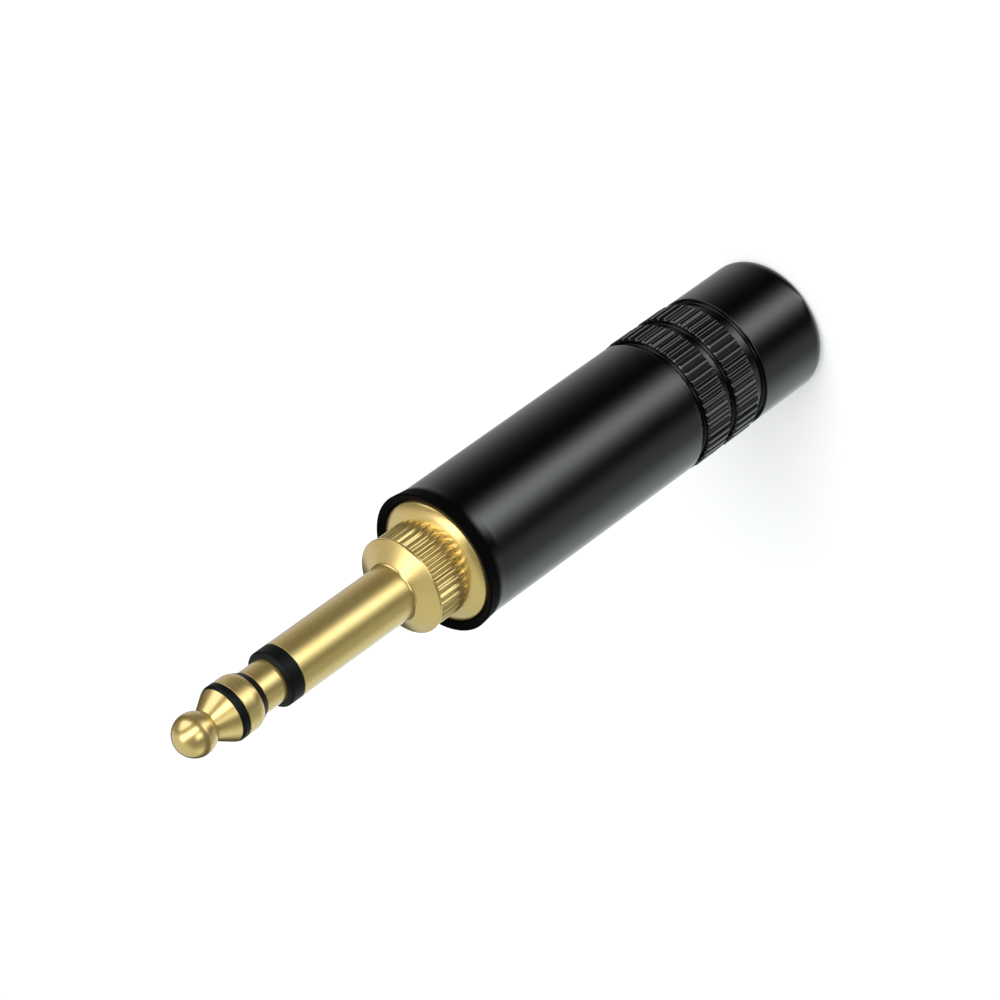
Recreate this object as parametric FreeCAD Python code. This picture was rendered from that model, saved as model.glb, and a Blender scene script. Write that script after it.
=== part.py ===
import FreeCAD, Part
import math
import os

V = FreeCAD.Vector

# Stereo jack plug, a quarter-inch three-contact plug, in millimetres.
# +Z runs up the axis from the flat rear face of the gland nut, at Z 0, to the ball tip.
# It is built as it stands on a bench: gland nut at the bottom, then shell, then contact core.

# Clearances
slip = 0.03             # between the nested tubes and bores of the finger
thread_gap = 0.3        # radial room between a plain spigot and its bore, where the threads run
seat_gap = 0.1          # along the axis, between faces that come together when screwed home
loose_gap = 0.25        # liner in the shell, radially
turning_gap = 0.08      # chuck in the bore of the gland nut, radially
flange_gap = 0.15       # domed flange in the mouth of the shell, radially
end_room = 0.6          # above and below pieces that must not be pinched

# Gland nut, outside
barrel_r = 7.8          # radius of the shell and of the plain rear end of the nut
rear_length = 9.8
rear_round_in = 0.55    # how far the rear edge is rounded in
rear_round_up = 1.4     # how far up the barrel that rounding starts
rear_groove = 1.5
grip_length = 3.5       # each ribbed band
mid_groove = 1.2
front_groove = 0.95
groove_depth = 0.3
barrel_edge_in = 0.22   # bevel at the front edge of the plain rear end
barrel_edge_up = 0.4
rib_count = 46
rib_proud = 0.12        # rib tops stand this far above the barrel
rib_depth = 0.34
rib_top = 0.4
rib_gap = 0.3           # flat width between two ribs, at their roots
rib_bevel = 0.22

# Gland nut, inside
entry_room = 0.5        # the cable hole's radius is this much over the chuck's bore
entry_bevel = 0.4       # at the cable hole's rear edge
entry_length = 4.5
entry_step = 0.6        # shoulder where the closing cone starts
cone_length = 9.5
nut_spigot_length = 6.5
nut_spigot_wall = 0.8
spigot_nose = 0.4       # bevel that leads a spigot into its bore

# Shell
shell_length = 33.75
shell_rear_wall = 0.8
shell_wall = 1.45
rear_bore_depth = 8.15
ledge_length = 1.5
shell_rear_chamfer = 0.2
lip_proud = 0.25        # the lip is this much larger than the barrel
flare_length = 2.7      # the barrel widens to the lip over this length
lip_edge_in = 0.36      # the lip's outer edge is rounded off by this much, in two bevels
lip_edge_down = 0.3
lip_wall = 0.95
mouth_bevel = 0.5
mouth_depth = 2.9

# Chuck and liner
chuck_wall = 2.32
collar_length = 1.1
chuck_slots = 3
slot_width = 1.2
slot_length = 14.0
jaw_teeth = 4
jaw_tooth_pitch = 0.9
jaw_tooth_height = 0.35
chuck_nose = 0.5        # bevel at the rear of the jaws
liner_wall = 0.5

# Contact core, behind the finger
flange_rim = 2.8
flange_edge_in = 0.4    # bevel at the edge of the flange's gently domed face
flange_edge_up = 0.22
flange_dome = 0.4
knurl_length = 4.1
knurl_crest_r = 5.4
knurl_count = 57
knurl_depth = 0.2
knurl_top = 0.14
knurl_gap = 0.08
knurl_bevel = 0.15
disc_r = 5.5            # widest, right in front of the knurl
disc_rim = 0.25
disc_front_r = 5.0      # where its taper meets the flat front face
disc_length = 1.22
relief_length = 0.9     # thread run-out groove under the flange
relief_depth = 0.35
core_spigot_length = 6.85
core_spigot_wall = 1.85 # round the well that holds the insulating stack
well_depth = 5.4

# Finger
finger_r = 3.175        # quarter-inch sleeve
sleeve_length = 16.58
sleeve_insulator_length = 1.9
sleeve_insulator_bevel = 0.35
dead_collar_length = 2.72
dead_collar_r = 2.5
ring_insulator_band = 0.9
ring_length = 2.23
ring_rear_r = 2.95
ring_round = 0.85
tip_insulator_band = 0.95
tip_insulator_slope = 0.3
cone_base_r = 3.05
tip_length = 6.15
ball_r = 2.375
cone_half_angle = 31.7  # degrees

# Nested tubes inside the finger, outer radii
rod_r = 0.75
tip_tube_r = 1.1
ring_tube_r = 1.5
ring_insulator_tube_r = 1.95

# Terminals and their insulation
tag_sheet = 0.6
tag_width = 2.4
tag_hole_r = 0.55
tag_end = 1.4           # from a tag's solder hole to its end
rear_bush_length = 1.6
washer_length = 2.0
peen_r = 0.4            # how far a peened rim stands out over its terminal
peen_length = 0.4
ring_tag_rim = 1.1      # width of the disc round the ring's tube
ring_tag_room = 0.3     # from the tag's outer face to the wall of the well
ring_tag_drop = 8.0
tip_tag_rim = 1.45      # width of the disc round the rod
tip_tag_room = 1.1
tip_tag_drop = 7.0
stake_wall = 0.15       # thin lip that holds the sleeve terminal
stake_flare = 0.25
stake_length = 0.25
sleeve_tag_ring = 0.95  # radial width of its ring
sleeve_tag_drop = 7.0

# Heights along the axis
band_2_z = rear_length + rear_groove
mid_groove_z = band_2_z + grip_length
band_1_z = mid_groove_z + mid_groove
front_groove_z = band_1_z + grip_length
shell_z = front_groove_z + front_groove
nut_face_z = shell_z - seat_gap
nut_top_z = nut_face_z + nut_spigot_length
ledge_z = shell_z + rear_bore_depth
liner_z = ledge_z + ledge_length + seat_gap
shell_top_z = shell_z + shell_length
mouth_z = shell_top_z - mouth_depth
flange_z = mouth_z + seat_gap
rim_top_z = flange_z + flange_rim
knurl_z = rim_top_z + flange_dome
disc_z = knurl_z + knurl_length
sleeve_z = disc_z + disc_length
sleeve_insulator_z = sleeve_z + sleeve_length
dead_collar_z = sleeve_insulator_z + sleeve_insulator_length
ring_insulator_z = dead_collar_z + dead_collar_length
ring_z = ring_insulator_z + ring_insulator_band
tip_insulator_z = ring_z + ring_length
cone_z = tip_insulator_z + tip_insulator_band
tip_z = cone_z + tip_length
spigot_z = flange_z - core_spigot_length
well_z = spigot_z + well_depth
ring_tag_z = well_z - rear_bush_length - tag_sheet
washer_z = ring_tag_z - washer_length
tip_tag_z = washer_z - tag_sheet
sleeve_tag_z = spigot_z - tag_sheet

# Radii that follow from the walls and clearances
groove_r = barrel_r - groove_depth
rib_r = barrel_r + rib_proud
rear_bore_r = barrel_r - shell_rear_wall
main_bore_r = barrel_r - shell_wall
lip_r = barrel_r + lip_proud
mouth_r = lip_r - lip_wall
nut_spigot_r = rear_bore_r - thread_gap
nut_bore_r = nut_spigot_r - nut_spigot_wall
chuck_r = nut_bore_r - turning_gap
chuck_bore_r = chuck_r - chuck_wall
entry_r = chuck_bore_r + entry_room
collar_r = rear_bore_r - loose_gap
liner_r = main_bore_r - loose_gap
liner_bore_r = liner_r - liner_wall
flange_r = mouth_r - flange_gap
knurl_root_r = knurl_crest_r - knurl_depth
core_spigot_r = main_bore_r - thread_gap
core_bore_r = ring_insulator_tube_r + slip
well_r = core_spigot_r - core_spigot_wall
stake_r = well_r + stake_wall
ring_tag_reach = well_r - ring_tag_room - tag_sheet
tip_tag_reach = well_r - tip_tag_room - tag_sheet


def at(r, z, via=None):
    """A point of an outline, reached along a straight line or along an arc through via."""
    return V(r, 0, z), via and V(via[0], 0, via[1])


def turned(*points):
    """A solid of revolution about Z from the points of a closed outline."""
    edges = []
    start = points[-1][0]
    for point, via in points:
        if via:
            edges.append(Part.Arc(start, via, point).toShape())
        else:
            edges.append(Part.LineSegment(start, point).toShape())
        start = point
    face = Part.Face(Part.Wire(edges))
    return face.revolve(V(0, 0, 0), V(0, 0, 1), 360)


def cylinder(r, z, length):
    return Part.makeCylinder(r, length, V(0, 0, z))


def ribbed_band(crest_r, root_r, count, top, gap, bevel, z, length):
    """A solid band of straight ribs round the axis, bevelled at both ends."""
    pitch = 2 * math.pi / count
    half_top = math.asin(top / 2 / crest_r)
    half_gap = math.asin(gap / 2 / root_r)
    corners = []
    for i in range(count):
        rib = i * pitch
        root = rib + pitch / 2
        for r, angle in ((crest_r, rib - half_top), (crest_r, rib + half_top),
                         (root_r, root - half_gap), (root_r, root + half_gap)):
            corners.append(V(r * math.cos(angle), r * math.sin(angle), z))
    outline = Part.Face(Part.makePolygon(corners + corners[:1]))
    blank_r = crest_r + bevel
    blank = turned(
        at(0, z),
        at(crest_r - bevel, z),
        at(blank_r, z + 2 * bevel),
        at(blank_r, z + length - 2 * bevel),
        at(crest_r - bevel, z + length),
        at(0, z + length))
    return outline.extrude(V(0, 0, length)).common(blank)


def edge_arc(out, up):
    """Radius of the arc that is tangent to the barrel and comes in by out over the height up."""
    return (out * out + up * up) / (2 * out)


def gland_nut():
    edge = edge_arc(rear_round_in, rear_round_up)
    half_turn = math.asin(rear_round_up / edge) / 2
    edge_middle = (barrel_r - edge * (1 - math.cos(half_turn)),
                   rear_round_up - edge * math.sin(half_turn))
    rear = turned(
        at(0, 0),
        at(barrel_r - rear_round_in, 0),
        at(barrel_r, rear_round_up, via=edge_middle),
        at(barrel_r, rear_length - barrel_edge_up),
        at(barrel_r - barrel_edge_in, rear_length),
        at(groove_r, rear_length),
        at(groove_r, band_2_z),
        at(0, band_2_z))
    middle = cylinder(groove_r, mid_groove_z, mid_groove)
    front = turned(
        at(0, front_groove_z),
        at(groove_r, front_groove_z),
        at(groove_r, nut_face_z),
        at(nut_spigot_r, nut_face_z),
        at(nut_spigot_r, nut_top_z - spigot_nose),
        at(nut_spigot_r - spigot_nose, nut_top_z),
        at(0, nut_top_z))
    bands = [ribbed_band(rib_r, rib_r - rib_depth, rib_count, rib_top, rib_gap, rib_bevel,
                         z, grip_length) for z in (band_2_z, band_1_z)]
    hollow = turned(
        at(0, -end_room),
        at(entry_r + entry_bevel, -end_room),
        at(entry_r + entry_bevel, 0),
        at(entry_r, entry_bevel),
        at(entry_r, entry_length),
        at(entry_r + entry_step, entry_length),
        at(nut_bore_r, entry_length + cone_length),
        at(nut_bore_r, nut_top_z + end_room),
        at(0, nut_top_z + end_room))
    return rear.fuse([bands[0], middle, bands[1], front]).removeSplitter().cut(hollow)


def chuck():
    """Slotted collet: its collar is under the shell's ledge and its jaws are in the nut's cone."""
    slope = (nut_bore_r - entry_r - entry_step) / cone_length
    base_z = entry_length + end_room
    cone_top_z = entry_length + cone_length
    base_r = chuck_r - slope * (cone_top_z - base_z)
    collar_top_z = ledge_z - seat_gap
    teeth_z = base_z + chuck_nose
    relief_r = chuck_bore_r + jaw_tooth_height
    bore = [at(relief_r, base_z)]
    for i in range(jaw_teeth):
        root_z = teeth_z + i * jaw_tooth_pitch
        bore += [at(chuck_bore_r, root_z), at(relief_r, root_z + jaw_tooth_pitch / 2)]
    bore.reverse()
    body = turned(
        at(base_r - chuck_nose, base_z),
        at(base_r, base_z + chuck_nose),
        at(chuck_r, cone_top_z),
        at(chuck_r, collar_top_z - collar_length),
        at(collar_r, collar_top_z - collar_length),
        at(collar_r, collar_top_z),
        at(chuck_bore_r + chuck_nose, collar_top_z),
        at(chuck_bore_r, collar_top_z - chuck_nose),
        at(chuck_bore_r, base_z + slot_length),
        *bore)
    slots = []
    for i in range(chuck_slots):
        slot = Part.makeBox(chuck_r + slot_width, slot_width, slot_length, V(0, -slot_width / 2, base_z))
        slot.rotate(V(0, 0, 0), V(0, 0, 1), i * 360 / chuck_slots)
        slots.append(slot)
    return body.cut(slots)


def shell():
    """Tube with a flared lip, a ledge inside, and a recess in its mouth for the domed flange."""
    return turned(
        at(rear_bore_r, shell_z + shell_rear_chamfer),
        at(rear_bore_r + shell_rear_chamfer, shell_z),
        at(barrel_r - shell_rear_chamfer, shell_z),
        at(barrel_r, shell_z + shell_rear_chamfer),
        at(barrel_r, shell_top_z - flare_length),
        at(lip_r, shell_top_z - lip_edge_down),
        at(lip_r - lip_edge_in / 3, shell_top_z - lip_edge_down / 3),
        at(lip_r - lip_edge_in, shell_top_z),
        at(mouth_r + mouth_bevel, shell_top_z),
        at(mouth_r, shell_top_z - mouth_bevel),
        at(mouth_r, mouth_z),
        at(main_bore_r, mouth_z),
        at(main_bore_r, ledge_z + ledge_length),
        at(liner_bore_r, ledge_z + ledge_length),
        at(liner_bore_r, ledge_z),
        at(rear_bore_r, ledge_z))


def liner():
    """Insulating tube round the solder tags, standing on the ledge of the shell."""
    top_z = sleeve_tag_z - end_room
    return turned(
        at(liner_bore_r, liner_z),
        at(liner_r, liner_z),
        at(liner_r, top_z),
        at(liner_bore_r, top_z))


def sleeve_body():
    """Sleeve, disc, knurled band, domed flange and spigot, turned from one bar."""
    rear = turned(
        at(0, spigot_z),
        at(core_spigot_r - spigot_nose, spigot_z),
        at(core_spigot_r, spigot_z + spigot_nose),
        at(core_spigot_r, flange_z - relief_length),
        at(core_spigot_r - relief_depth, flange_z - relief_length + relief_depth),
        at(core_spigot_r - relief_depth, flange_z),
        at(flange_r, flange_z),
        at(flange_r, rim_top_z),
        at(flange_r - flange_edge_in, rim_top_z + flange_edge_up),
        at(knurl_root_r, knurl_z),
        at(0, knurl_z))
    band = ribbed_band(knurl_crest_r, knurl_root_r, knurl_count, knurl_top, knurl_gap,
                       knurl_bevel, knurl_z, knurl_length)
    front = turned(
        at(0, disc_z),
        at(disc_r, disc_z),
        at(disc_r, disc_z + disc_rim),
        at(disc_front_r, sleeve_z),
        at(finger_r, sleeve_z),
        at(finger_r, sleeve_insulator_z),
        at(0, sleeve_insulator_z))
    lip_z = sleeve_tag_z - stake_length
    stake = turned(
        at(0, lip_z),
        at(stake_r + stake_flare, lip_z),
        at(stake_r + stake_flare, sleeve_tag_z),
        at(stake_r, sleeve_tag_z),
        at(stake_r, spigot_z),
        at(0, spigot_z))
    hollow = turned(
        at(0, lip_z - end_room),
        at(well_r, lip_z - end_room),
        at(well_r, well_z),
        at(core_bore_r, well_z),
        at(core_bore_r, sleeve_insulator_z + end_room),
        at(0, sleeve_insulator_z + end_room))
    return stake.fuse([rear, band, front]).removeSplitter().cut(hollow)


def sleeve_insulator():
    return turned(
        at(core_bore_r, sleeve_insulator_z),
        at(finger_r, sleeve_insulator_z),
        at(finger_r, dead_collar_z - sleeve_insulator_bevel),
        at(finger_r - sleeve_insulator_bevel, dead_collar_z),
        at(core_bore_r, dead_collar_z))


def dead_collar():
    return turned(
        at(core_bore_r, dead_collar_z),
        at(dead_collar_r, dead_collar_z),
        at(dead_collar_r, ring_insulator_z),
        at(core_bore_r, ring_insulator_z))


def ring_insulator():
    """Thin band behind the ring, and the tube that keeps the ring's tube off the sleeve."""
    bore_r = ring_tube_r + slip
    return turned(
        at(bore_r, well_z),
        at(ring_insulator_tube_r, well_z),
        at(ring_insulator_tube_r, ring_insulator_z),
        at(dead_collar_r, ring_insulator_z),
        at(ring_rear_r, ring_z),
        at(bore_r, ring_z))


def ring_contact():
    """Ring with its tube through the finger, peened over behind its terminal."""
    bore_r = tip_tube_r + slip
    sag = (finger_r - ring_rear_r) / 4
    peen_z = ring_tag_z - peen_length
    return turned(
        at(bore_r, peen_z),
        at(ring_tube_r, peen_z),
        at(ring_tube_r + peen_r, ring_tag_z),
        at(ring_tube_r, ring_tag_z),
        at(ring_tube_r, ring_z),
        at(ring_rear_r, ring_z),
        at(finger_r, ring_z + ring_round, via=(finger_r - sag, ring_z + ring_round / 2)),
        at(finger_r, tip_insulator_z),
        at(bore_r, tip_insulator_z))


def tip_insulator():
    """Band behind the cone, and the tube that keeps the rod off the ring's tube."""
    bore_r = rod_r + slip
    tube_z = ring_tag_z - peen_length - slip
    return turned(
        at(bore_r, tube_z),
        at(tip_tube_r, tube_z),
        at(tip_tube_r, tip_insulator_z),
        at(finger_r, tip_insulator_z),
        at(finger_r, cone_z - tip_insulator_slope),
        at(cone_base_r, cone_z),
        at(bore_r, cone_z))


def tip_contact():
    """Ball, waist and cone with the long rod behind them, peened over at its rear end."""
    slant = math.radians(cone_half_angle)
    along = V(-math.sin(slant), 0, math.cos(slant))
    base = V(cone_base_r, 0, cone_z)
    from_ball = base - V(0, 0, tip_z - ball_r)
    nearest = -from_ball.dot(along)
    to_waist = nearest - math.sqrt(nearest ** 2 - from_ball.dot(from_ball) + ball_r ** 2)
    waist = base + along * to_waist
    peen_z = tip_tag_z - peen_length
    return turned(
        at(0, peen_z),
        at(rod_r, peen_z),
        at(rod_r + peen_r, tip_tag_z),
        at(rod_r, tip_tag_z),
        at(rod_r, cone_z),
        at(cone_base_r, cone_z),
        at(waist.x, waist.z),
        at(0, tip_z, via=(ball_r, tip_z - ball_r)))


def rear_bush():
    return turned(
        at(ring_tube_r + slip, ring_tag_z + tag_sheet),
        at(well_r - slip, ring_tag_z + tag_sheet),
        at(well_r - slip, well_z),
        at(ring_tube_r + slip, well_z))


def tail(reach, top_z, bottom_z):
    """The solder tail of a tag: a strip that hangs at reach from the axis, with a rounded end."""
    round_r = tag_width / 2
    strip = Part.makeBox(tag_sheet, tag_width, top_z - bottom_z - round_r,
                         V(reach, -round_r, bottom_z + round_r))
    end = Part.makeCylinder(round_r, tag_sheet, V(reach, 0, bottom_z + round_r), V(1, 0, 0))
    hole = Part.makeCylinder(tag_hole_r, tag_sheet, V(reach, 0, bottom_z + tag_end), V(1, 0, 0))
    return strip.fuse(end).removeSplitter().cut(hole)


def solder_tag(stem_r, rim, reach, z, drop):
    """A flat disc round a stem on the axis, with an arm that is bent down into a solder tail."""
    disc = cylinder(stem_r + rim, z, tag_sheet)
    arm = Part.makeBox(reach + tag_sheet, tag_width, tag_sheet, V(0, -tag_width / 2, z))
    hanging = tail(reach, z, z - drop)
    return disc.fuse([arm, hanging]).removeSplitter().cut(cylinder(stem_r + slip, z, tag_sheet))


def ring_terminal():
    return solder_tag(ring_tube_r, ring_tag_rim, ring_tag_reach, ring_tag_z, ring_tag_drop)


def tip_terminal():
    tag = solder_tag(rod_r, tip_tag_rim, tip_tag_reach, tip_tag_z, tip_tag_drop)
    tag.rotate(V(0, 0, 0), V(0, 0, 1), 180)
    return tag


def terminal_insulator():
    """Washer between the ring terminal and the tip terminal, notched for the ring's tail."""
    recess_z = ring_tag_z - peen_length - slip
    washer = turned(
        at(rod_r + slip, washer_z),
        at(well_r - slip, washer_z),
        at(well_r - slip, ring_tag_z),
        at(ring_tube_r + peen_r + slip, ring_tag_z),
        at(ring_tube_r + peen_r + slip, recess_z),
        at(rod_r + slip, recess_z))
    notch = Part.makeBox(well_r, tag_width + 2 * slip, washer_length,
                         V(ring_tag_reach - slip, -tag_width / 2 - slip, washer_z))
    return washer.cut(notch)


def sleeve_terminal():
    """Ring staked to the back of the spigot, with a solder tail bent down from its rim."""
    ring_r = stake_r + sleeve_tag_ring
    ring = cylinder(ring_r, sleeve_tag_z, tag_sheet)
    reach = math.sqrt(ring_r ** 2 - (tag_width / 2) ** 2) - tag_sheet
    hanging = tail(reach, sleeve_tag_z, sleeve_tag_z - sleeve_tag_drop)
    tag = ring.fuse(hanging).removeSplitter().cut(cylinder(stake_r + slip, sleeve_tag_z, tag_sheet))
    tag.rotate(V(0, 0, 0), V(0, 0, 1), 90)
    return tag


pieces = {
    "gland_nut": gland_nut,
    "chuck": chuck,
    "shell": shell,
    "liner": liner,
    "sleeve_body": sleeve_body,
    "sleeve_insulator": sleeve_insulator,
    "dead_collar": dead_collar,
    "ring_insulator": ring_insulator,
    "ring_contact": ring_contact,
    "tip_insulator": tip_insulator,
    "tip_contact": tip_contact,
    "rear_bush": rear_bush,
    "ring_terminal": ring_terminal,
    "terminal_insulator": terminal_insulator,
    "tip_terminal": tip_terminal,
    "sleeve_terminal": sleeve_terminal,
}

os.makedirs("parts", exist_ok=True)
for name, make in pieces.items():
    solid = make()
    solid.exportStep("parts/" + name + ".step")
    box = solid.optimalBoundingBox()
    print(f"{name:20s} valid {solid.isValid()} solids {len(solid.Solids)} "
          f"volume {solid.Volume:8.1f}  Z {box.ZMin:6.2f} to {box.ZMax:6.2f}  r {box.XMax:5.2f}")
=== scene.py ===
import bpy
import bmesh
import math
from mathutils import Matrix, Vector


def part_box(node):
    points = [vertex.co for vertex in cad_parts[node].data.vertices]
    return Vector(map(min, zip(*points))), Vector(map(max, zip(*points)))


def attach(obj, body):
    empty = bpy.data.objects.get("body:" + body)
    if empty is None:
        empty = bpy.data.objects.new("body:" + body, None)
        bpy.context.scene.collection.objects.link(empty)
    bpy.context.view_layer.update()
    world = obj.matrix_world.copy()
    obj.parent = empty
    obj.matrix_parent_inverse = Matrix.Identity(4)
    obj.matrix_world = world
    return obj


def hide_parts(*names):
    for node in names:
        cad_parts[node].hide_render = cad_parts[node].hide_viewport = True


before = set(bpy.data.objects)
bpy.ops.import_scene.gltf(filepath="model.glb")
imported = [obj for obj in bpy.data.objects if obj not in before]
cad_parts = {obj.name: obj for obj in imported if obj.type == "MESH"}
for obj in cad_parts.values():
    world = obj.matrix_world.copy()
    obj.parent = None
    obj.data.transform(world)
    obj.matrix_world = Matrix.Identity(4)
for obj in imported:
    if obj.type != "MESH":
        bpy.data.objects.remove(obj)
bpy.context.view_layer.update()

# Stereo jack plug: gold finger and collar, black shell and ribbed gland nut.
# Outlines are in millimetres, as (radius, height) beside the axis of the plug.
MM = 0.001


def span(node):
    """Lowest height, highest height and largest radius of a part of the frame, in millimetres."""
    low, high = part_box(node)
    return low.z / MM, high.z / MM, high.x / MM


# Heights and outer radii that come with the frame
nut_z, nut_top_z, rib_r = span("gland_nut")
shell_z, shell_top_z, lip_r = span("shell")
stake_z, sleeve_top_z, flange_r = span("sleeve_body")
insulator_z, insulator_top_z, finger_r = span("sleeve_insulator")
collar_z, collar_top_z, collar_r = span("dead_collar")
stack_z, ring_z, ring_rear_r = span("ring_insulator")
ring_peen_z, ring_top_z, _ = span("ring_contact")
tip_tube_z, cone_z, _ = span("tip_insulator")
rod_z, tip_z, cone_base_r = span("tip_contact")
ring_tag_z = span("ring_terminal")[1]
tip_tag_z = span("tip_terminal")[1]
sleeve_tag_top_z = span("sleeve_terminal")[1]

# Gland nut
barrel_r = 7.8
groove_r = 7.32
rib_root_r = 7.66
rib_count = 46
rib_top_share = 0.4         # of the pitch
rib_gap_share = 0.12
rib_bevel = 0.14
rib_round = 0.112
rear_length = 9.8
rear_face_r = 7.25
rear_round_up = 1.4
rear_edge = 0.12
rear_groove = 1.5
grip_length = 3.5
mid_groove = 1.2
front_groove = 0.85
groove_fillet = 0.06
nut_spigot_r = 6.7
nut_bore_r = 5.9
spigot_edge = 0.3
nut_thread_pitch = 1.0
entry_r = 4.0
entry_edge = 0.4
entry_length = 4.5
entry_step = 0.6
closing_cone = 9.5

# Shell
rear_bore_r = 7.0
main_bore_r = 6.35
ledge_bore_r = 5.6
ledge_z = 28.6
ledge_length = 1.5
shell_edge = 0.2
rear_bore_edge = 0.18
ledge_edge = 0.1
flare_length = 2.2
flare_curve = 8.0
lip_edge_in = 0.1
lip_edge_down = 0.12
lip_outer_round = 0.06
lip_top_round = 0.05
lip_matte_z = 52.0          # the lip is near-black and almost unreflecting from here up
lip_wall = 0.95
mouth_bevel_in = 0.72
mouth_bevel_down = 0.45
mouth_edge = 0.03
mouth_round = 0.15
mouth_depth = 2.9

# Contact core
core_spigot_r = 6.05
core_thread_pitch = 0.75
relief_length = 0.9
relief_depth = 0.35
seat_gap = 0.1
flange_rim = 2.6
flange_edge_in = 0.14
flange_dome = 0.7
dome_bulge = 0.1
knurl_crest_r = 5.4
knurl_root_r = 5.12
knurl_count = 36
knurl_top_share = 0.2
knurl_gap_share = 0.2
knurl_bevel = 0.14
knurl_round = 0.1
knurl_length = 4.1
disc_r = 5.5
disc_rim = 0.28
disc_length = 1.48          # with its cone up to the sleeve
disc_round = 0.12
sleeve_fillet = 0.4         # where the sleeve rises from the cone
well_r = 4.2
stake_r = 4.35
stake_flare = 0.25
core_bore_r = 1.98
tag_sheet = 0.6

# Finger
insulator_round = 0.38
insulator_edge = 0.04
ring_tube_r = 1.5
tip_tube_r = 1.1
rod_r = 0.75
tube_r = 1.95
slip = 0.03
peen_r = 0.4
ring_round = 0.85
tip_slope = 0.3
tip_slope_round = 0.12
ball_r = 2.375
cone_half_angle = 31.7
waist_fillet = 0.12

# Fineness of the meshes
gold_edge = 0.05            # broken edges of turned gold parts
black_edge = 0.08
hold = 0.03                 # short bands at the ends of long faces keep them flat
long_face = 0.18
tiny = 1e-6
weld = 1e-7                 # in metres
arc_step = math.radians(11)
sharp_angle = math.radians(42)
plain_sides = 192
shell_sides = 320
overlap = 0.01              # by which a cut band reaches past its ends
rib_soft = 0.05            # share of the pitch by which the corners of ribs are softened
thread_rows = 8             # rows to one turn of a thread
thread_height = 0.24
thread_margin = 0.4         # plain length at the end of a thread


class Socket:
    """A value in a node tree. Arithmetic on it adds Math nodes to the tree."""

    def __init__(self, tree, socket):
        self.tree = tree
        self.socket = socket

    def math(self, operation, *others):
        values = dict(enumerate((self, *others)))
        return self.tree.add("ShaderNodeMath", {"operation": operation}, values)["Value"]

    def __add__(self, other):
        return self.math("ADD", other)

    def __radd__(self, other):
        return self.math("ADD", other)

    def __sub__(self, other):
        return self.math("SUBTRACT", other)

    def __rsub__(self, other):
        return self.tree.add("ShaderNodeMath", {"operation": "SUBTRACT"}, {0: other, 1: self})["Value"]

    def __mul__(self, other):
        return self.math("MULTIPLY", other)

    def __truediv__(self, other):
        return self.math("DIVIDE", other)

    def __gt__(self, other):
        return self.math("GREATER_THAN", other)

    def __lt__(self, other):
        return self.math("LESS_THAN", other)

    def __abs__(self):
        return self.math("ABSOLUTE")

    def least(self, other):
        return self.math("MINIMUM", other)

    def root(self):
        return self.math("SQRT")

    def exp(self):
        return self.math("EXPONENT")

    def part(self):
        """What is left above the whole number below it."""
        return self.math("FRACT")

    def rise(self, low, high, kind="SMOOTHSTEP"):
        """0 below low, 1 above high, and a smooth rise between them, or a straight one."""
        values = {"Value": self, "From Min": low, "From Max": high}
        return self.tree.add("ShaderNodeMapRange", {"interpolation_type": kind}, values)["Result"]


class Node:
    """A node whose outputs are read by name."""

    def __init__(self, tree, node):
        self.tree = tree
        self.node = node

    def __getitem__(self, name):
        for socket in self.node.outputs:
            if name in (socket.identifier, socket.name) and socket.enabled:
                return Socket(self.tree, socket)
        raise KeyError(name)


class Tree:
    """A node tree to which nodes are added one at a time: settings first, then values and links."""

    def __init__(self, tree):
        self.tree = tree
        tree.nodes.clear()

    def add(self, kind, settings=None, values=None):
        node = self.tree.nodes.new(kind)
        for name, value in (settings or {}).items():
            setattr(node, name, value)
        for name, value in (values or {}).items():
            socket = self.input(node, name)
            if isinstance(value, Socket):
                self.tree.links.new(value.socket, socket)
            else:
                socket.default_value = value
        return Node(self, node)

    def input(self, node, name):
        if isinstance(name, int):
            return node.inputs[name]
        for socket in node.inputs:
            if name in (socket.identifier, socket.name) and socket.enabled:
                return socket
        raise KeyError(name)


def separate(tree, vector):
    parts = tree.add("ShaderNodeSeparateXYZ", None, {"Vector": vector})
    return parts["X"], parts["Y"], parts["Z"]


def combine(tree, x, y, z):
    return tree.add("ShaderNodeCombineXYZ", None, {"X": x, "Y": y, "Z": z})["Vector"]


# Outlines

def at(r, z, corner=0.0, via=None):
    """A point of an outline: rounded by corner, or reached along an arc through via."""
    return Vector((r, z)), corner, via and Vector(via)


def rows(r, start_z, end_z, step):
    """Evenly spaced points up or down a straight wall, for a thread to be cut in."""
    count = max(1, round(abs(end_z - start_z) / step))
    return [at(r, start_z + (end_z - start_z) * i / count) for i in range(count + 1)]


def arc_points(start, middle, end):
    """Points along the arc from start through middle to end, without start itself."""
    (ax, ay), (bx, by), (cx, cy) = start, middle, end
    d = 2 * (ax * (by - cy) + bx * (cy - ay) + cx * (ay - by))
    a2, b2, c2 = start.length_squared, middle.length_squared, end.length_squared
    centre = Vector((a2 * (by - cy) + b2 * (cy - ay) + c2 * (ay - by),
                     a2 * (cx - bx) + b2 * (ax - cx) + c2 * (bx - ax))) / d
    first = start - centre
    turn = first.angle_signed(middle - centre) + (middle - centre).angle_signed(end - centre)
    count = max(3, math.ceil(abs(turn) / arc_step))
    points = []
    for i in range(1, count + 1):
        points.append(centre + Matrix.Rotation(-turn * i / count, 2) @ first)
    points[-1] = end.copy()
    return points


def corner_arc(before, point, after, radius):
    """Start, middle and end of the arc that rounds a corner."""
    back = (before - point).normalized()
    ahead = (after - point).normalized()
    half = back.angle(ahead) / 2
    run = radius / math.tan(half)
    middle = point + (back + ahead).normalized() * (radius / math.sin(half) - radius)
    return point + back * run, middle, point + ahead * run


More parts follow.
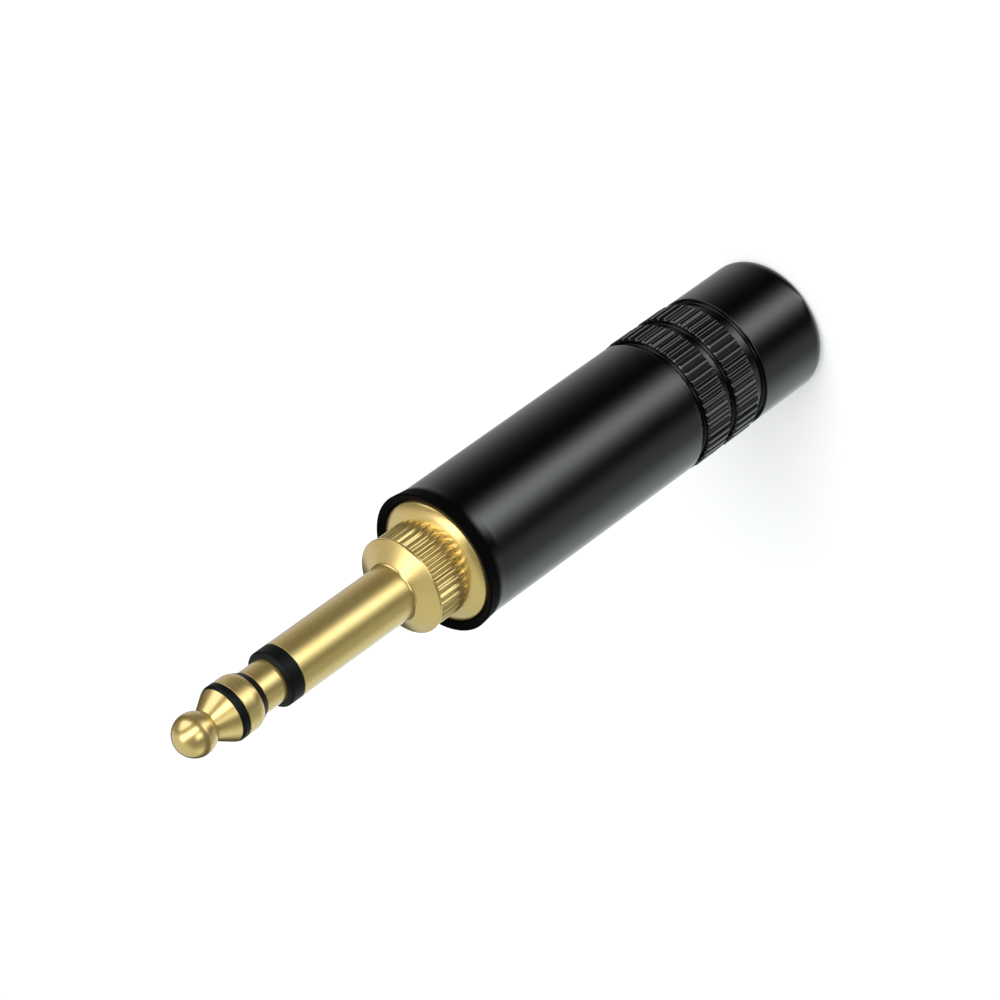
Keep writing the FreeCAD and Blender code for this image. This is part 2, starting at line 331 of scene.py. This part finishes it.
def trace(corners):
    """The points of a closed outline, with its corners rounded and its flats held by short bands."""
    count = len(corners)
    rounded = []
    for i, (point, radius, _) in enumerate(corners):
        if radius:
            rounded.append(corner_arc(corners[i - 1][0], point, corners[(i + 1) % count][0], radius))
        else:
            rounded.append((point, point, point))
    points = []
    for i, (_, radius, via) in enumerate(corners):
        start = rounded[i - 1][2]
        entry, middle, leave = rounded[i]
        if via:
            points += arc_points(start, via, entry)
        else:
            run = (entry - start).length
            if run > long_face:
                along = (entry - start) / run * hold
                points += [start + along, entry - along]
            if run > tiny:
                points.append(entry)
        if radius:
            points += arc_points(entry, middle, leave)
    return points


# Meshes

def even_angles(sides):
    return [2 * math.pi * i / sides for i in range(sides)]


def rib_angles(count, top_share, gap_share):
    """Angles that put an edge on each side of the corners of count ribs."""
    top = top_share / 2
    root = 0.5 - gap_share / 2
    shares = [0.0, top - rib_soft, top + rib_soft, (top + root) / 2, root - rib_soft, root + rib_soft]
    whole = shares + [0.5] + [1 - s for s in reversed(shares[1:])]
    return [2 * math.pi * (i + share) / count for i in range(count) for share in whole]


def turned(name, outline, material, angles=None):
    """A closed mesh turned about the axis from an outline in millimetres."""
    angles = angles or even_angles(plain_sides)
    points = trace(outline)
    mesh = bmesh.new()
    rings = []
    for r, z in points:
        if r < tiny:
            rings.append([mesh.verts.new((0, 0, z * MM))])
        else:
            rings.append([mesh.verts.new((r * MM * math.cos(a), r * MM * math.sin(a), z * MM))
                          for a in angles])
    sides = len(angles)
    for lower, upper in zip(rings, rings[1:] + rings[:1]):
        if len(lower) == 1 and len(upper) == 1:
            continue
        for j in range(sides):
            k = (j + 1) % sides
            corners = [lower[j % len(lower)], lower[k % len(lower)],
                       upper[k % len(upper)], upper[j % len(upper)]]
            mesh.faces.new(dict.fromkeys(corners))
    return finished(name, mesh, material)


def finished(name, mesh, material):
    """An object from a bmesh, with its faces outward and smooth between its sharp edges."""
    bmesh.ops.remove_doubles(mesh, verts=mesh.verts, dist=weld)
    bmesh.ops.recalc_face_normals(mesh, faces=mesh.faces)
    data = bpy.data.meshes.new(name)
    mesh.to_mesh(data)
    mesh.free()
    data.materials.append(material)
    data.shade_smooth()
    data.set_sharp_from_angle(angle=sharp_angle)
    thing = bpy.data.objects.new(name, data)
    bpy.context.scene.collection.objects.link(thing)
    return thing


def place(thing, node, body):
    """A finished piece stands for its part of the frame and moves with its body."""
    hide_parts(node)
    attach(thing, body)


# Geometry node trees

def shape_tree(name, inputs):
    """An empty geometry tree with named sizes. Gives the tree, its inputs and its mesh."""
    group = bpy.data.node_groups.new(name, "GeometryNodeTree")
    group.interface.new_socket("Geometry", in_out="INPUT", socket_type="NodeSocketGeometry")
    for label in inputs:
        group.interface.new_socket(label, in_out="INPUT", socket_type="NodeSocketFloat")
    group.interface.new_socket("Material", in_out="INPUT", socket_type="NodeSocketMaterial")
    group.interface.new_socket("Geometry", in_out="OUTPUT", socket_type="NodeSocketGeometry")
    tree = Tree(group)
    return tree, tree.add("NodeGroupInput")


def close_tree(tree, given, x, y, z):
    """Moves the points to x, y, z, and ends the tree."""
    moved = tree.add("GeometryNodeSetPosition", None,
                     {"Geometry": given["Geometry"], "Position": combine(tree, x, y, z)})
    real = tree.add("GeometryNodeRealizeInstances", None, {"Geometry": moved["Geometry"]})
    painted = tree.add("GeometryNodeSetMaterial", None,
                       {"Geometry": real["Geometry"], "Material": given["Material"]})
    tree.add("NodeGroupOutput", None, {"Geometry": painted["Geometry"]})
    return tree.tree


def rib_tree():
    """Cuts the gaps between straight ribs into a plain turned band."""
    tree, given = shape_tree("ribs", ("Count", "Crest", "Root", "Top", "Gap", "From", "To"))
    x, y, z = separate(tree, tree.add("GeometryNodeInputPosition")["Position"])
    r = (x * x + y * y).root()
    turn = y.math("ARCTAN2", x) / (2 * math.pi)
    off_centre = abs((turn * given["Count"] + 0.5).part() - 0.5)
    fall = off_centre.rise(given["Top"] / 2, 0.5 - given["Gap"] / 2, "LINEAR")
    profile = given["Crest"] - (given["Crest"] - given["Root"]) * fall
    inside = (z > given["From"]) * (z < given["To"])
    scale = 1 + inside * (r.least(profile) / r - 1)
    return close_tree(tree, given, x * scale, y * scale, z)


def thread_tree():
    """Raises a right-handed thread from a plain spigot."""
    tree, given = shape_tree("thread", ("Pitch", "Height", "Radius", "From", "To"))
    x, y, z = separate(tree, tree.add("GeometryNodeInputPosition")["Position"])
    r = (x * x + y * y).root()
    turn = y.math("ARCTAN2", x) / (2 * math.pi)
    off_crest = abs((z / given["Pitch"] - turn).part() - 0.5) * 2
    crest, foot = 0.15, 0.85
    ridge = 1 - off_crest.rise(crest, foot)
    run_in = z.rise(given["From"], given["From"] + given["Pitch"] / 2)
    run_out = 1 - z.rise(given["To"] - given["Pitch"] / 2, given["To"])
    on_spigot = abs(r - given["Radius"]) < overlap * MM
    scale = 1 + on_spigot * run_in * run_out * ridge * given["Height"] / r
    return close_tree(tree, given, x * scale, y * scale, z)


def cut(thing, group, material, **sizes):
    """Adds a geometry modifier with its sizes set by their sockets."""
    modifier = thing.modifiers.new(group.name, "NODES")
    modifier.node_group = group
    for item in group.interface.items_tree:
        if item.in_out == "INPUT" and item.name in sizes:
            modifier[item.identifier] = sizes[item.name]
        if item.name == "Material":
            modifier[item.identifier] = material


def settle(thing):
    """Turns what the modifiers make into a plain mesh."""
    material = thing.data.materials[0]
    evaluated = thing.evaluated_get(bpy.context.evaluated_depsgraph_get())
    plain = bpy.data.meshes.new_from_object(evaluated)
    mesh = bmesh.new()
    mesh.from_mesh(plain)
    name = thing.name
    bpy.data.objects.remove(thing)
    bpy.data.meshes.remove(plain)
    return finished(name, mesh, material)


# Materials

def surface(name, **values):
    """A material with one Principled shader. Gives the material, its tree and the shader's values."""
    material = bpy.data.materials.new(name)
    material.use_nodes = True
    tree = Tree(material.node_tree)
    shader = tree.add("ShaderNodeBsdfPrincipled", None, values)
    tree.add("ShaderNodeOutputMaterial", None, {"Surface": shader["BSDF"]})
    return material, tree, shader.node


def feed(tree, shader, name, value):
    tree.tree.links.new(value.socket, shader.inputs[name])


def object_place(tree):
    return tree.add("ShaderNodeTexCoord")["Object"]


def turned_place(tree, stretch):
    """Object coordinates as radius, height and a little of the angle, so marks run round the axis."""
    x, y, z = separate(tree, object_place(tree))
    r = (x * x + y * y).root()
    return combine(tree, r / MM, z / MM, y.math("ARCTAN2", x) * stretch)


def noise(tree, vector, scale, detail=2.0):
    return tree.add("ShaderNodeTexNoise", None, {"Vector": vector, "Scale": scale, "Detail": detail})["Fac"]


def colour_mix(tree, factor, a, b):
    return tree.add("ShaderNodeMix", {"data_type": "RGBA"},
                    {"Factor_Float": factor, "A_Color": a, "B_Color": b})["Result_Color"]


def bump(tree, height, distance):
    return tree.add("ShaderNodeBump", None, {"Height": height, "Distance": distance * MM})["Normal"]


def polished_gold():
    """Gold plate with faint turning marks under a clear coat."""
    material, tree, shader = surface(
        "polished gold", **{"Metallic": 0.74, "Coat Weight": 0.9, "Coat Roughness": 0.12})
    deep = (0.83, 0.61, 0.2, 1)
    bright = (0.86, 0.64, 0.23, 1)
    mark_stretch, mark_scale, mark_detail, mark_height = 0.6, 9.0, 3.0, 0.0012
    cloud_scale = 180.0
    roughness, roughness_spread = 0.23, 0.06
    marks = noise(tree, turned_place(tree, mark_stretch), mark_scale, mark_detail)
    cloud = noise(tree, object_place(tree), cloud_scale)
    feed(tree, shader, "Base Color", colour_mix(tree, cloud.rise(0.3, 0.7), deep, bright))
    feed(tree, shader, "Roughness", roughness + marks * roughness_spread)
    feed(tree, shader, "Normal", bump(tree, marks, mark_height))
    return material


def tag_gold():
    """Gold-flashed sheet of the solder tags."""
    material, tree, shader = surface("flashed tag", **{"Metallic": 1.0})
    deep = (0.74, 0.56, 0.25, 1)
    bright = (0.80, 0.63, 0.32, 1)
    grain_scale, grain_height = 2500.0, 0.01
    roughness, roughness_spread = 0.34, 0.12
    grain = noise(tree, object_place(tree), grain_scale)
    feed(tree, shader, "Base Color", colour_mix(tree, grain, deep, bright))
    feed(tree, shader, "Roughness", roughness + grain * roughness_spread)
    feed(tree, shader, "Normal", bump(tree, grain, grain_height))
    return material


def black_metal(name, matte_z=None):
    """Smooth black finish. Above matte_z, if that is given, it turns near-black with almost no reflection.
    """
    material, tree, shader = surface(name, **{"IOR": 1.72})
    dark = (0.0004, 0.0005, 0.0007, 1)
    light = (0.0009, 0.001, 0.0013, 1)
    grain_scale, grain_height = 9000.0, 0.0003
    cloud_scale, cloud_detail = 260.0, 3.0
    roughness, roughness_spread = 0.12, 0.04
    matte_fade = 0.9
    grain = noise(tree, object_place(tree), grain_scale)
    cloud = noise(tree, object_place(tree), cloud_scale, cloud_detail)
    feed(tree, shader, "Base Color", colour_mix(tree, cloud, dark, light))
    feed(tree, shader, "Roughness", roughness + cloud * roughness_spread)
    feed(tree, shader, "Normal", bump(tree, grain, grain_height))
    if matte_z:
        # A near-black, rough shader with a very low IOR, so that the lip shows almost no reflection above
        # matte_z.
        matte = tree.add("ShaderNodeBsdfPrincipled", None,
                         {"Base Color": (0.0012, 0.0008, 0.0008, 1), "Roughness": 0.6, "IOR": 1.12})
        height = separate(tree, object_place(tree))[2]
        dullness = height.rise(matte_z * MM, (matte_z + matte_fade) * MM)
        both = tree.add("ShaderNodeMixShader", None,
                        {0: dullness, 1: Node(tree, shader)["BSDF"], 2: matte["BSDF"]})
        output = tree.tree.nodes["Material Output"]
        tree.tree.links.new(both["Shader"].socket, output.inputs["Surface"])
    return material


def plastic(name, dark, light, roughness, grain_scale, grain_height):
    """Moulded plastic with a fine grain."""
    material, tree, shader = surface(name, **{"IOR": 1.3})
    grain_detail = 3.0
    roughness_spread = 0.1
    grain = noise(tree, object_place(tree), grain_scale, grain_detail)
    feed(tree, shader, "Base Color", colour_mix(tree, grain, (*dark, 1), (*light, 1)))
    feed(tree, shader, "Roughness", roughness + grain * roughness_spread)
    feed(tree, shader, "Normal", bump(tree, grain, grain_height))
    return material


gold = polished_gold()
tag_metal = tag_gold()
shell_black = black_metal("black shell", lip_matte_z)
nut_black = black_metal("black nut")
insulator_black = plastic("black insulator", dark=(0.002, 0.0026, 0.0026), light=(0.004, 0.005, 0.0048),
                          roughness=0.4, grain_scale=1400.0, grain_height=0.002)
chuck_black = plastic("black chuck", dark=(0.022, 0.022, 0.024), light=(0.034, 0.034, 0.036),
                      roughness=0.42, grain_scale=1800.0, grain_height=0.006)
nylon = plastic("natural nylon", dark=(0.74, 0.73, 0.68), light=(0.80, 0.79, 0.74),
                roughness=0.45, grain_scale=700.0, grain_height=0.01)


# Pieces

def make_gland_nut(ribs, threads):
    band_2_z = rear_length + rear_groove
    mid_z = band_2_z + grip_length
    band_1_z = mid_z + mid_groove
    front_z = band_1_z + grip_length
    face_z = front_z + front_groove
    drop = barrel_r - rear_face_r
    edge = (drop ** 2 + rear_round_up ** 2) / (2 * drop)
    half_turn = math.asin(rear_round_up / edge) / 2
    edge_middle = (barrel_r - edge * (1 - math.cos(half_turn)), rear_round_up - edge * math.sin(half_turn))
    hole_middle = entry_edge * (1 - math.sqrt(0.5))

    def band(z):
        top = z + grip_length
        return [at(rib_r - rib_bevel, z), at(rib_r, z + rib_bevel, rib_round),
                at(rib_r, top - rib_bevel, rib_round), at(rib_r - rib_bevel, top)]

    step = nut_thread_pitch / thread_rows
    outline = [
        at(entry_r, entry_edge),
        at(entry_r + entry_edge, nut_z, via=(entry_r + hole_middle, hole_middle)),
        at(rear_face_r, nut_z, rear_edge),
        at(barrel_r, rear_round_up, via=edge_middle),
        at(barrel_r, rear_length, groove_fillet),
        at(groove_r, rear_length, groove_fillet),
        at(groove_r, band_2_z, groove_fillet),
        *band(band_2_z),
        at(groove_r, mid_z, groove_fillet),
        at(groove_r, band_1_z, groove_fillet),
        *band(band_1_z),
        at(groove_r, front_z, groove_fillet),
        at(groove_r, face_z, black_edge),
        at(nut_spigot_r, face_z),
        *rows(nut_spigot_r, face_z + thread_margin, nut_top_z - thread_margin, step),
        at(nut_spigot_r, nut_top_z, spigot_edge),
        at(nut_bore_r, nut_top_z, spigot_edge),
        at(nut_bore_r, entry_length + closing_cone),
        at(entry_r + entry_step, entry_length),
        at(entry_r, entry_length)]
    nut = turned("nut_ribbed_barrel", outline, nut_black,
                 rib_angles(rib_count, rib_top_share, rib_gap_share))
    cut(nut, ribs, nut_black, Count=float(rib_count), Crest=rib_r * MM, Root=rib_root_r * MM,
        Top=rib_top_share, Gap=rib_gap_share, From=(band_2_z - overlap) * MM, To=(front_z + overlap) * MM)
    cut(nut, threads, nut_black, Pitch=nut_thread_pitch * MM, Height=thread_height * MM,
        Radius=nut_spigot_r * MM, From=(face_z + thread_margin) * MM,
        To=(nut_top_z - thread_margin) * MM)
    place(settle(nut), "gland_nut", "nut_body")


def make_shell():
    mouth_r = lip_r - lip_wall
    mouth_z = shell_top_z - mouth_depth
    outline = [
        at(rear_bore_r, shell_z, rear_bore_edge),
        at(barrel_r, shell_z, shell_edge),
        at(barrel_r, shell_top_z - flare_length, flare_curve),
        at(lip_r, shell_top_z - lip_edge_down, lip_outer_round),
        at(lip_r - lip_edge_in, shell_top_z, lip_top_round),
        at(mouth_r + mouth_bevel_in, shell_top_z, mouth_edge),
        at(mouth_r, shell_top_z - mouth_bevel_down, mouth_round),
        at(mouth_r, mouth_z),
        at(main_bore_r, mouth_z, mouth_round),
        at(main_bore_r, ledge_z + ledge_length),
        at(ledge_bore_r, ledge_z + ledge_length, ledge_edge),
        at(ledge_bore_r, ledge_z, ledge_edge),
        at(rear_bore_r, ledge_z)]
    tube = turned("shell_tube", outline, shell_black, even_angles(shell_sides))
    place(tube, "shell", "shell_body")


def make_sleeve_body(ribs, threads):
    flange_z = shell_top_z - mouth_depth + seat_gap
    rim_z = flange_z + flange_rim
    knurl_z = rim_z + flange_dome
    disc_z = knurl_z + knurl_length
    finger_z = disc_z + disc_length
    chord_r = flange_r - flange_edge_in - knurl_root_r
    chord = math.hypot(chord_r, flange_dome)
    dome_middle = (knurl_root_r + chord_r / 2 + dome_bulge * flange_dome / chord,
                   (rim_z + knurl_z) / 2 + dome_bulge * chord_r / chord)
    neck_r = core_spigot_r - relief_depth
    relief_z = flange_z - relief_length
    step = core_thread_pitch / thread_rows
    outline = [
        at(well_r, stake_z),
        at(stake_r + stake_flare, stake_z, gold_edge),
        at(stake_r + stake_flare, sleeve_tag_top_z - tag_sheet, gold_edge),
        at(stake_r, sleeve_tag_top_z - tag_sheet),
        at(stake_r, sleeve_tag_top_z),
        at(core_spigot_r, sleeve_tag_top_z, spigot_edge),
        *rows(core_spigot_r, sleeve_tag_top_z + thread_margin, relief_z, step),
        at(neck_r, relief_z + relief_depth),
        at(neck_r, flange_z),
        at(flange_r, flange_z, gold_edge),
        at(flange_r, rim_z - flange_edge_in, flange_edge_in),
        at(flange_r - flange_edge_in, rim_z),
        at(knurl_root_r, knurl_z, via=dome_middle),
        at(knurl_crest_r - knurl_bevel, knurl_z),
        at(knurl_crest_r, knurl_z + knurl_bevel, knurl_round),
        at(knurl_crest_r, disc_z - knurl_bevel, knurl_round),
        at(knurl_crest_r - knurl_bevel, disc_z),
        at(disc_r, disc_z, gold_edge),
        at(disc_r, disc_z + disc_rim, disc_round),
        at(finger_r, finger_z, sleeve_fillet),
        at(finger_r, sleeve_top_z, gold_edge),
        at(core_bore_r, sleeve_top_z),
        at(core_bore_r, stack_z),
        at(well_r, stack_z)]
    body = turned("sleeve_and_collar", outline, gold,
                  rib_angles(knurl_count, knurl_top_share, knurl_gap_share))
    cut(body, ribs, gold, Count=float(knurl_count), Crest=knurl_crest_r * MM, Root=knurl_root_r * MM,
        Top=knurl_top_share, Gap=knurl_gap_share, From=(knurl_z - overlap) * MM, To=(disc_z - overlap) * MM)
    cut(body, threads, gold, Pitch=core_thread_pitch * MM, Height=thread_height * MM,
        Radius=core_spigot_r * MM, From=(sleeve_tag_top_z + thread_margin) * MM, To=relief_z * MM)
    place(settle(body), "sleeve_body", "contact_core")


def make_finger():
    core = "contact_core"
    place(turned("sleeve_insulator_ring", [
        at(core_bore_r, insulator_z),
        at(finger_r, insulator_z, insulator_edge),
        at(finger_r, insulator_top_z, insulator_round),
        at(core_bore_r, insulator_top_z)], insulator_black),
        "sleeve_insulator", core)
    place(turned("dead_collar_ring", [
        at(core_bore_r, collar_z),
        at(collar_r, collar_z),
        at(collar_r, collar_top_z, gold_edge),
        at(core_bore_r, collar_top_z)], gold),
        "dead_collar", core)
    bore_r = ring_tube_r + slip
    place(turned("ring_insulator_tube", [
        at(bore_r, stack_z),
        at(tube_r, stack_z),
        at(tube_r, collar_top_z),
        at(collar_r, collar_top_z, insulator_edge),
        at(ring_rear_r, ring_z, insulator_edge),
        at(bore_r, ring_z)], insulator_black),
        "ring_insulator", core)
    bore_r = tip_tube_r + slip
    sag = (finger_r - ring_rear_r) / 4
    place(turned("ring_with_tube", [
        at(bore_r, ring_peen_z),
        at(ring_tube_r, ring_peen_z),
        at(ring_tube_r + peen_r, ring_tag_z - tag_sheet),
        at(ring_tube_r, ring_tag_z - tag_sheet),
        at(ring_tube_r, ring_z),
        at(ring_rear_r, ring_z, gold_edge),
        at(finger_r, ring_z + ring_round, via=(finger_r - sag, ring_z + ring_round / 2)),
        at(finger_r, ring_top_z, gold_edge),
        at(bore_r, ring_top_z)], gold),
        "ring_contact", core)
    bore_r = rod_r + slip
    place(turned("tip_insulator_tube", [
        at(bore_r, tip_tube_z),
        at(tip_tube_r, tip_tube_z),
        at(tip_tube_r, ring_top_z),
        at(finger_r, ring_top_z, insulator_edge),
        at(finger_r, cone_z - tip_slope, tip_slope_round),
        at(cone_base_r, cone_z, insulator_edge),
        at(bore_r, cone_z)], insulator_black),
        "tip_insulator", core)
    slant = math.radians(cone_half_angle)
    along = Vector((-math.sin(slant), math.cos(slant)))
    out = Vector((math.cos(slant), math.sin(slant)))
    ball = Vector((0, tip_z - ball_r))
    base = Vector((cone_base_r, cone_z))
    start = base + out * waist_fillet - ball
    half_b = start.dot(along)
    run = -half_b - math.sqrt(half_b ** 2 - start.length_squared + (ball_r + waist_fillet) ** 2)
    waist = base + along * run + out * waist_fillet
    on_cone = waist - out * waist_fillet
    on_ball = ball + (waist - ball).normalized() * ball_r
    between = (on_cone - waist).normalized() + (on_ball - waist).normalized()
    neck = waist + between.normalized() * waist_fillet
    place(turned("tip_with_rod", [
        at(0, rod_z),
        at(rod_r, rod_z),
        at(rod_r + peen_r, tip_tag_z - tag_sheet),
        at(rod_r, tip_tag_z - tag_sheet),
        at(rod_r, cone_z),
        at(cone_base_r, cone_z, gold_edge),
        at(on_cone.x, on_cone.y),
        at(on_ball.x, on_ball.y, via=tuple(neck)),
        at(0, tip_z, via=(ball_r, tip_z - ball_r))], gold),
        "tip_contact", core)


def dress_hidden_parts():
    """Parts that keep the frame's own mesh get their finish."""
    finishes = {
        "chuck": chuck_black,
        "liner": nylon,
        "rear_bush": insulator_black,
        "terminal_insulator": insulator_black,
        "ring_terminal": tag_metal,
        "tip_terminal": tag_metal,
        "sleeve_terminal": tag_metal}
    for node, material in finishes.items():
        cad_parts[node].data.materials[0] = material


ribs = rib_tree()
threads = thread_tree()
make_gland_nut(ribs, threads)
make_shell()
make_sleeve_body(ribs, threads)
make_finger()
dress_hidden_parts()


# Stage

def make_floor():
    """A wide pale disc, a little brighter to the camera so that it shows white.

    Metal mirrors the studio instead.
    """
    floor_r = 3.0
    floor_sides = 96
    glow = 0.42
    mesh = bmesh.new()
    bmesh.ops.create_circle(mesh, cap_ends=True, segments=floor_sides, radius=floor_r)
    material, tree, shader = surface("pale floor", **{
        "Base Color": (0.8, 0.8, 0.8, 1), "Roughness": 0.9, "Emission Color": (1, 1, 1, 1)})
    feed(tree, shader, "Emission Strength", tree.add("ShaderNodeLightPath")["Is Camera Ray"] * glow)
    floor = finished("floor", mesh, material)
    floor.visible_glossy = False


def make_studio():
    """Even light from all round, and in mirrors a room of soft cards with dark gaps between them."""
    world = bpy.data.worlds.new("studio")
    bpy.context.scene.world = world
    world.use_nodes = True
    tree = Tree(world.node_tree)
    x, y, z = separate(tree, tree.add("ShaderNodeTexCoord")["Generated"])
    level = (x * x + y * y).root()

    def card(azimuth, width, light):
        """A soft upright card below the horizon."""
        a = math.radians(azimuth)
        w = math.radians(width)
        toward = (x * math.sin(a) - y * math.cos(a)) / level
        return ((toward - 1) / (w * w)).exp() * light

    def strip(side, width, light):
        """A soft strip that runs overhead from the camera's side, with rather sharp edges."""
        off = (x - side) / width
        return (off * off * off * off * -1).exp() * light

    # Below the horizon: what upright walls mirror
    for_shell = card(azimuth=10, width=13, light=1.8)
    for_finger = card(azimuth=1, width=15, light=3.2)
    toward_finger = z.rise(-0.575, -0.545)
    cards = [for_shell * (1 - toward_finger) + for_finger * toward_finger]
    for azimuth, width, light in (
            (-60, 12, 0.26), (-112, 24, 0.8), (-160, 20, 0.6), (130, 27, 0.5), (180, 20, 0.25)):
        cards.append(card(azimuth, width, light))
    gaps = 0.002
    low = (sum(cards) + gaps) * (1 - z.rise(-0.48, -0.40))

    # Overhead: what cones, domes and the ball mirror
    before = 1 - y.rise(0.0, 0.4)
    long_strip = strip(side=0.27, width=0.21, light=3.0) * before
    short_strip = strip(side=-0.30, width=0.20, light=2.2) * (1 - z.rise(0.4, 0.65)) * before
    right_wall = x.rise(0.72, 0.8) * before * 1.6
    left_wall = x.rise(-0.8, -0.95) * 0.3
    rear_wall = y.rise(-0.3, 0.3) * (1 - x.rise(0.45, 0.7)) * 0.5
    ceiling = 0.1
    high = long_strip + short_strip + right_wall + left_wall + rear_wall + ceiling
    mirrored = low + high * z.rise(-0.12, 0.08)

    path = tree.add("ShaderNodeLightPath")
    seen = path["Is Camera Ray"]
    shiny = path["Is Glossy Ray"]
    even = 0.55
    strength = shiny * mirrored + (1 - shiny) * (seen + (1 - seen) * even)
    side = x.rise(-0.8, 0.8) * shiny + (1 - shiny) * 0.5
    greenish = (0.95, 1.04, 0.98, 1)
    bluish = (1.0, 1.0, 1.06, 1)
    back = tree.add("ShaderNodeBackground", None,
                    {"Color": colour_mix(tree, side, greenish, bluish), "Strength": strength})
    tree.add("ShaderNodeOutputWorld", None, {"Surface": back["Background"]})


def make_key_lamp():
    """A wide lamp high on the right, for soft shadows. Metal doesn't mirror it."""
    azimuth = math.radians(35)
    elevation = math.radians(60)
    distance = 0.8
    aim = Vector((0, 0, 0.05))
    away = Vector((math.sin(azimuth) * math.cos(elevation), -math.cos(azimuth) * math.cos(elevation),
                   math.sin(elevation)))
    lamp = bpy.data.lights.new("key", "AREA")
    lamp.shape = "DISK"
    lamp.size = 0.5
    lamp.energy = 3.0
    thing = bpy.data.objects.new("key", lamp)
    thing.location = aim + away * distance
    thing.rotation_euler = away.to_track_quat("Z", "Y").to_euler()
    thing.visible_glossy = False
    bpy.context.scene.collection.objects.link(thing)


def make_camera():
    """Looks down at the standing plug, rolled so that the tip points to the lower left."""
    elevation = math.radians(34.8)
    roll = math.radians(-125.6)
    target = Vector((1.28, 0.0, 42.83)) * MM
    distance = 499 * MM
    forward = Vector((0, math.cos(elevation), -math.sin(elevation)))
    level_right = Vector((1, 0, 0))
    level_up = Vector((0, math.sin(elevation), math.cos(elevation)))
    right = level_right * math.cos(roll) + level_up * math.sin(roll)
    up = level_up * math.cos(roll) - level_right * math.sin(roll)
    lens = bpy.data.cameras.new("camera")
    lens.lens = 172.8
    lens.sensor_width = 36.0
    camera = bpy.data.objects.new("camera", lens)
    place_and_turn = Matrix((right, up, -forward)).transposed().to_4x4()
    place_and_turn.translation = target - forward * distance
    camera.matrix_world = place_and_turn
    bpy.context.scene.collection.objects.link(camera)
    bpy.context.scene.camera = camera


make_floor()
make_studio()
make_key_lamp()
make_camera()
bpy.context.scene.view_settings.view_transform = "Standard"
